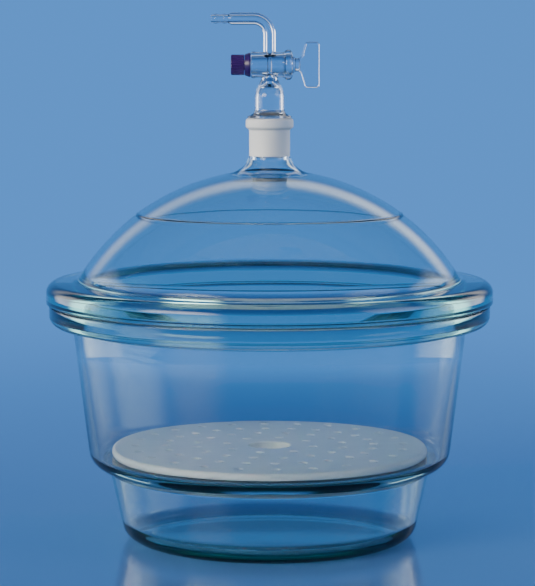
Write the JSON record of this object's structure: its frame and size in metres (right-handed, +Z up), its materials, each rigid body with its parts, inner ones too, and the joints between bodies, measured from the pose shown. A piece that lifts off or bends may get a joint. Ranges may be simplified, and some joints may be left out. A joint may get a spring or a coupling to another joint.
{
  "type": "vacuum desiccator",
  "caption": "Round glass vessel with a perforated plate on an inner ledge, and a domed lid whose neck holds a stopcock with a bent hose arm.",
  "frame": {"origin": "on the vessel's axis, on the surface that its foot stands on", "axes": "+Z up along the vessel's axis, +X along the stopcock's barrel towards the key's handle, the hose nozzle points to -X"},
  "size_m": [0.323, 0.323, 0.38],
  "materials": {
    "bowl_glass": "clear, slightly blue-green in thick sections",
    "lid_glass": "clear, with a frosted ground socket",
    "clear_glass": "clear",
    "key_glass": "clear, ground plug",
    "grease": "greasy",
    "porcelain": "satin glaze",
    "ptfe": "matte",
    "rubber": "matte",
    "collar_plastic": "smooth",
    "nut_plastic": "smooth, ribbed"
  },
  "bodies": {
    "vessel": {"base_bowl": "bowl_glass"},
    "plate": {"perforated_plate": "porcelain"},
    "film": {"flange_seal_film": "grease"},
    "lid": {"lid_dome": "lid_glass"},
    "head": {"stopcock_head": "clear_glass"},
    "key": {"stopcock_key": "key_glass", "key_washer": "ptfe", "key_o_ring": "rubber"},
    "collar": {"nut_collar": "collar_plastic"},
    "nut": {"retaining_nut": "nut_plastic"}
  },
  "joints": [
    {"name": "plate_lift", "type": "slide", "parent": "vessel", "child": "plate", "axis": [0, 0, 1], "range_m": [0, 0.12]},
    {"name": "lid_slide", "type": "slide", "parent": "vessel", "child": "film", "axis": [1, 0, 0], "range_m": [-0.15, 0.15]},
    {"name": "lid_lift", "type": "slide", "parent": "film", "child": "lid", "axis": [0, 0, 1], "range_m": [0, 0.2]},
    {"name": "head_turn", "type": "hinge", "parent": "lid", "child": "head", "pos_m": [0, 0, 0.29], "axis": [0, 0, 1], "continuous": true},
    {"name": "key_turn", "type": "hinge", "parent": "head", "child": "key", "pos_m": [0, 0, 0.3427], "axis": [1, 0, 0], "continuous": true},
    {"name": "collar_travel", "type": "slide", "parent": "key", "child": "collar", "axis": [-1, 0, 0], "range_m": [0, 0.01]},
    {"name": "nut_turn", "type": "hinge", "parent": "collar", "child": "nut", "pos_m": [-0.022, 0, 0.3427], "axis": [-1, 0, 0], "range_deg": [0, 1800]}
  ],
  "couplings": [
    {"joint": "nut_turn", "follows": "collar_travel", "rad_per_m": 3141.6}
  ]
}
